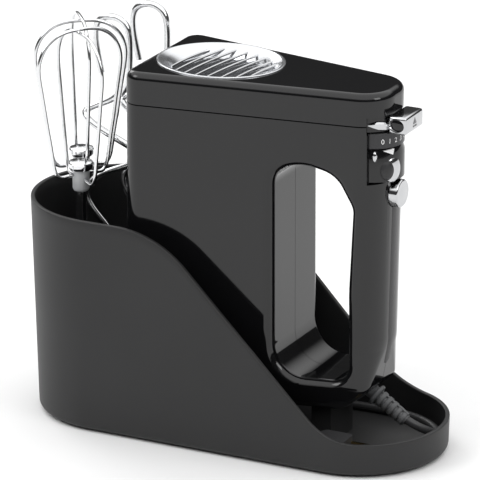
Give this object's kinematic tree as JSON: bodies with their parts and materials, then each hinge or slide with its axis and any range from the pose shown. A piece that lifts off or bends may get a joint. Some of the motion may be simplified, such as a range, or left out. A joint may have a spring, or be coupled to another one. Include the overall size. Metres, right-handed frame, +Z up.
{
  "type": "hand mixer",
  "caption": "Gloss black hand mixer standing nose up in a matte black storage caddy with its beaters and dough hooks.",
  "frame": {"origin": "under the middle of the caddy, on the surface its feet stand on", "axes": "+X from the tool end of the caddy to the handle end, +Y to the mixer's right side, +Z up"},
  "size_m": [0.2507, 0.1072, 0.2297],
  "materials": {
    "caddy_black": "satin, near black",
    "foot_rubber": "matte",
    "gloss_black": "high gloss black",
    "soft_grip": "soft matte",
    "bright_chrome": "polished plating",
    "grille_silver": "silver, glossy",
    "dark_plastic": "fine matte",
    "relief_grey": "matte grey",
    "cord_black": "satin",
    "collar_grey": "light grey, satin",
    "polished_steel": "polished wire",
    "machined_steel": "turned",
    "core_steel": "laminated",
    "copper": "enamelled copper",
    "carbon": "graphite",
    "acetal": "natural, waxy",
    "board_green": "solder mask",
    "bronze": "sintered",
    "brass": "plated"
  },
  "bodies": {
    "caddy": {"caddy_shell": "caddy_black", "caddy_feet": "foot_rubber", "tool_rack": "caddy_black", "cord_drum": "caddy_black", "heel_rest": "caddy_black"},
    "mixer": {"housing_left": "gloss_black", "housing_right": "gloss_black", "nose_cap": "gloss_black", "vent_bezel": "bright_chrome", "vent_grille": "grille_silver", "grip_cover": "soft_grip", "speed_scale": "dark_plastic", "speed_switch": "dark_plastic", "circuit_board": "board_green", "strain_relief": "relief_grey", "cord_clamp": "dark_plastic", "cord_tube": "cord_black", "cord_coil": "cord_black", "plug_body": "cord_black", "plug_blades": "brass", "field_core": "core_steel", "field_coils": "copper", "brush_holders": "dark_plastic", "brushes": "carbon", "shaft_bearings": "bronze", "gear_case": "acetal", "gear_cover": "acetal", "gear_screws": "machined_steel", "housing_screws": "machined_steel", "lever_pin": "machined_steel", "eject_spring": "machined_steel", "turbo_spring": "machined_steel"},
    "armature": {"motor_shaft": "machined_steel", "worm": "bronze", "armature_core": "core_steel", "armature_windings": "copper", "commutator": "copper", "fan": "acetal"},
    "drive_left": {"worm_wheel_left": "acetal", "spindle_left": "machined_steel"},
    "drive_right": {"worm_wheel_right": "acetal", "spindle_right": "machined_steel"},
    "lever": {"eject_lever": "bright_chrome"},
    "fork": {"eject_fork": "acetal"},
    "selector": {"selector_dial": "dark_plastic", "selector_trim": "bright_chrome"},
    "turbo": {"turbo_button": "bright_chrome"},
    "beater_front": {"beater_front_wires": "polished_steel", "beater_front_collar": "collar_grey", "beater_front_shaft": "polished_steel"},
    "beater_rear": {"beater_rear_wires": "polished_steel", "beater_rear_collar": "collar_grey", "beater_rear_shaft": "polished_steel"},
    "hook_near": {"hook_near_rod": "polished_steel", "hook_near_shaft": "polished_steel"},
    "hook_far": {"hook_far_rod": "polished_steel", "hook_far_shaft": "polished_steel"}
  },
  "joints": [
    {"name": "mixer_lift", "type": "slide", "parent": "caddy", "child": "mixer", "axis": [0, 0, 1], "range_m": [0, 0.2]},
    {"name": "beater_front_lift", "type": "slide", "parent": "caddy", "child": "beater_front", "axis": [0, 0, 1], "range_m": [0, 0.12]},
    {"name": "beater_rear_lift", "type": "slide", "parent": "caddy", "child": "beater_rear", "axis": [0, 0, 1], "range_m": [0, 0.12]},
    {"name": "hook_near_lift", "type": "slide", "parent": "caddy", "child": "hook_near", "axis": [0, 0, 1], "range_m": [0, 0.14]},
    {"name": "hook_far_lift", "type": "slide", "parent": "caddy", "child": "hook_far", "axis": [0, 0, 1], "range_m": [0, 0.14]},
    {"name": "armature_spin", "type": "hinge", "parent": "mixer", "child": "armature", "pos_m": [-0.012, 0, 0.15], "axis": [0, 0, 1], "continuous": true},
    {"name": "spindle_left_spin", "type": "hinge", "parent": "mixer", "child": "drive_left", "pos_m": [-0.012, -0.0175, 0.168], "axis": [1, 0, 0], "continuous": true},
    {"name": "spindle_right_spin", "type": "hinge", "parent": "mixer", "child": "drive_right", "pos_m": [-0.012, 0.0175, 0.168], "axis": [1, 0, 0], "continuous": true},
    {"name": "eject_lever_tilt", "type": "hinge", "parent": "mixer", "child": "lever", "pos_m": [0.088, 0, 0.196], "axis": [0, -1, 0], "range_deg": [0, 9], "stiffness_Nm_per_rad": 0.6, "springref_deg": -5.73},
    {"name": "eject_fork_slide", "type": "slide", "parent": "mixer", "child": "fork", "axis": [-1, 0, 0], "range_m": [0, 0.0012], "deforming": ["eject_spring"]},
    {"name": "selector_turn", "type": "hinge", "parent": "mixer", "child": "selector", "pos_m": [0.082, 0, 0.17], "axis": [0, 0, 1], "range_deg": [0, 84]},
    {"name": "turbo_press", "type": "slide", "parent": "mixer", "child": "turbo", "axis": [-1, 0, 0], "range_m": [0, 0.003], "stiffness_N_per_m": 400, "springref_m": -0.002, "deforming": ["turbo_spring"]}
  ],
  "couplings": [
    {"joint": "beater_rear_lift", "follows": "beater_front_lift", "ratio": 1},
    {"joint": "spindle_left_spin", "follows": "armature_spin", "ratio": -0.074074},
    {"joint": "spindle_right_spin", "follows": "armature_spin", "ratio": 0.074074},
    {"joint": "eject_fork_slide", "follows": "eject_lever_tilt", "m_per_rad": 0.0076}
  ]
}
